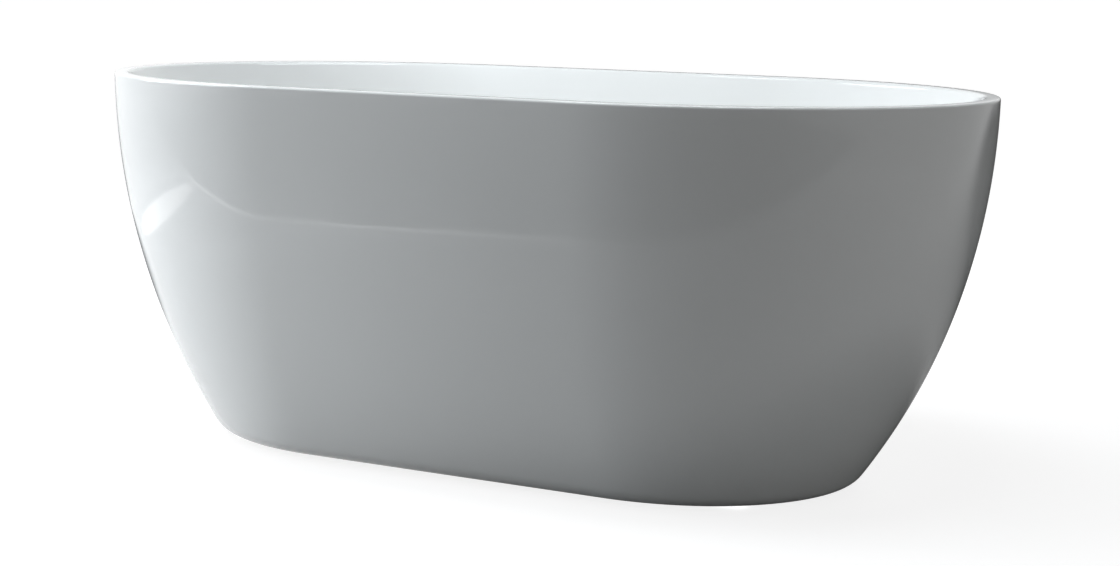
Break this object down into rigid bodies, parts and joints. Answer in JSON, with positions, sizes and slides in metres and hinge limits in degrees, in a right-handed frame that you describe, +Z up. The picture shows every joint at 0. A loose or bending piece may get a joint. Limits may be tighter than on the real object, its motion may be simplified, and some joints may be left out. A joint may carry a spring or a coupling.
{
  "type": "freestanding bathtub",
  "caption": "Freestanding oval bathtub: double-walled white acrylic shell on a hidden steel frame with levelling feet, click waste and overflow.",
  "frame": {"origin": "on the floor under the middle of the tub, at the soles of the levelling feet", "axes": "+X along the tub's length, +Y towards the long side with the overflow, +Z up"},
  "size_m": [1.5, 0.75, 0.6],
  "materials": {
    "acrylic": "gloss white",
    "adhesive": "cured sealant",
    "plywood": "raw plywood",
    "zinc_steel": "zinc plated",
    "black_plastic": "satin moulded",
    "rubber": "matt",
    "chrome": "polished",
    "brass": "turned",
    "white_plastic": "satin moulded"
  },
  "bodies": {
    "tub": {"back_rail": "zinc_steel", "base_board": "plywood", "basin": "acrylic", "board_screws": "zinc_steel", "bracket_foot_screws": "zinc_steel", "bracket_rail_screws": "zinc_steel", "foot_lock_nuts": "zinc_steel", "foot_weld_nuts": "zinc_steel", "front_rail": "zinc_steel", "left_cross_tube": "zinc_steel", "lower_pipe_nut": "white_plastic", "lower_pipe_seal": "rubber", "overflow_body": "white_plastic", "overflow_cover": "chrome", "overflow_insert": "white_plastic", "overflow_pipe": "white_plastic", "overflow_seal": "rubber", "right_cross_tube": "zinc_steel", "rim_bond": "adhesive", "skirt": "acrylic", "skirt_bracket_back_left": "zinc_steel", "skirt_bracket_back_right": "zinc_steel", "skirt_bracket_front_left": "zinc_steel", "skirt_bracket_front_right": "zinc_steel", "stopper_guide": "white_plastic", "stopper_spring": "zinc_steel", "upper_pipe_nut": "white_plastic", "upper_pipe_seal": "rubber", "waste_body": "white_plastic", "waste_bottom_seal": "rubber", "waste_flange": "chrome", "waste_top_seal": "rubber"},
    "stopper": {"stopper_cap": "chrome", "stopper_seal": "rubber", "stopper_stem": "brass"},
    "foot_front_left": {"foot_pad_front_left": "black_plastic", "foot_sole_front_left": "rubber"},
    "screw_front_left": {"foot_stud_front_left": "zinc_steel"},
    "foot_front_right": {"foot_pad_front_right": "black_plastic", "foot_sole_front_right": "rubber"},
    "screw_front_right": {"foot_stud_front_right": "zinc_steel"},
    "foot_back_left": {"foot_pad_back_left": "black_plastic", "foot_sole_back_left": "rubber"},
    "screw_back_left": {"foot_stud_back_left": "zinc_steel"},
    "foot_back_right": {"foot_pad_back_right": "black_plastic", "foot_sole_back_right": "rubber"},
    "screw_back_right": {"foot_stud_back_right": "zinc_steel"}
  },
  "joints": [
    {"name": "stopper_lift", "type": "slide", "parent": "tub", "child": "stopper", "axis": [0, 0, 1], "range_m": [0, 0.009], "deforming": ["stopper_spring"]},
    {"name": "foot_front_left_height", "type": "slide", "parent": "tub", "child": "foot_front_left", "axis": [0, 0, -1], "range_m": [-0.005, 0.015]},
    {"name": "foot_front_left_screw", "type": "hinge", "parent": "foot_front_left", "child": "screw_front_left", "pos_m": [-0.37626, -0.1393, 0.05], "axis": [0, 0, -1], "range_deg": [-1210, 3610]},
    {"name": "foot_front_right_height", "type": "slide", "parent": "tub", "child": "foot_front_right", "axis": [0, 0, -1], "range_m": [-0.005, 0.015]},
    {"name": "foot_front_right_screw", "type": "hinge", "parent": "foot_front_right", "child": "screw_front_right", "pos_m": [0.37626, -0.1393, 0.05], "axis": [0, 0, -1], "range_deg": [-1210, 3610]},
    {"name": "foot_back_left_height", "type": "slide", "parent": "tub", "child": "foot_back_left", "axis": [0, 0, -1], "range_m": [-0.005, 0.015]},
    {"name": "foot_back_left_screw", "type": "hinge", "parent": "foot_back_left", "child": "screw_back_left", "pos_m": [-0.37626, 0.1393, 0.05], "axis": [0, 0, -1], "range_deg": [-1210, 3610]},
    {"name": "foot_back_right_height", "type": "slide", "parent": "tub", "child": "foot_back_right", "axis": [0, 0, -1], "range_m": [-0.005, 0.015]},
    {"name": "foot_back_right_screw", "type": "hinge", "parent": "foot_back_right", "child": "screw_back_right", "pos_m": [0.37626, 0.1393, 0.05], "axis": [0, 0, -1], "range_deg": [-1210, 3610]}
  ],
  "couplings": [
    {"joint": "foot_front_left_screw", "follows": "foot_front_left_height", "rad_per_m": 4188.8},
    {"joint": "foot_front_right_screw", "follows": "foot_front_right_height", "rad_per_m": 4188.8},
    {"joint": "foot_back_left_screw", "follows": "foot_back_left_height", "rad_per_m": 4188.8},
    {"joint": "foot_back_right_screw", "follows": "foot_back_right_height", "rad_per_m": 4188.8}
  ]
}
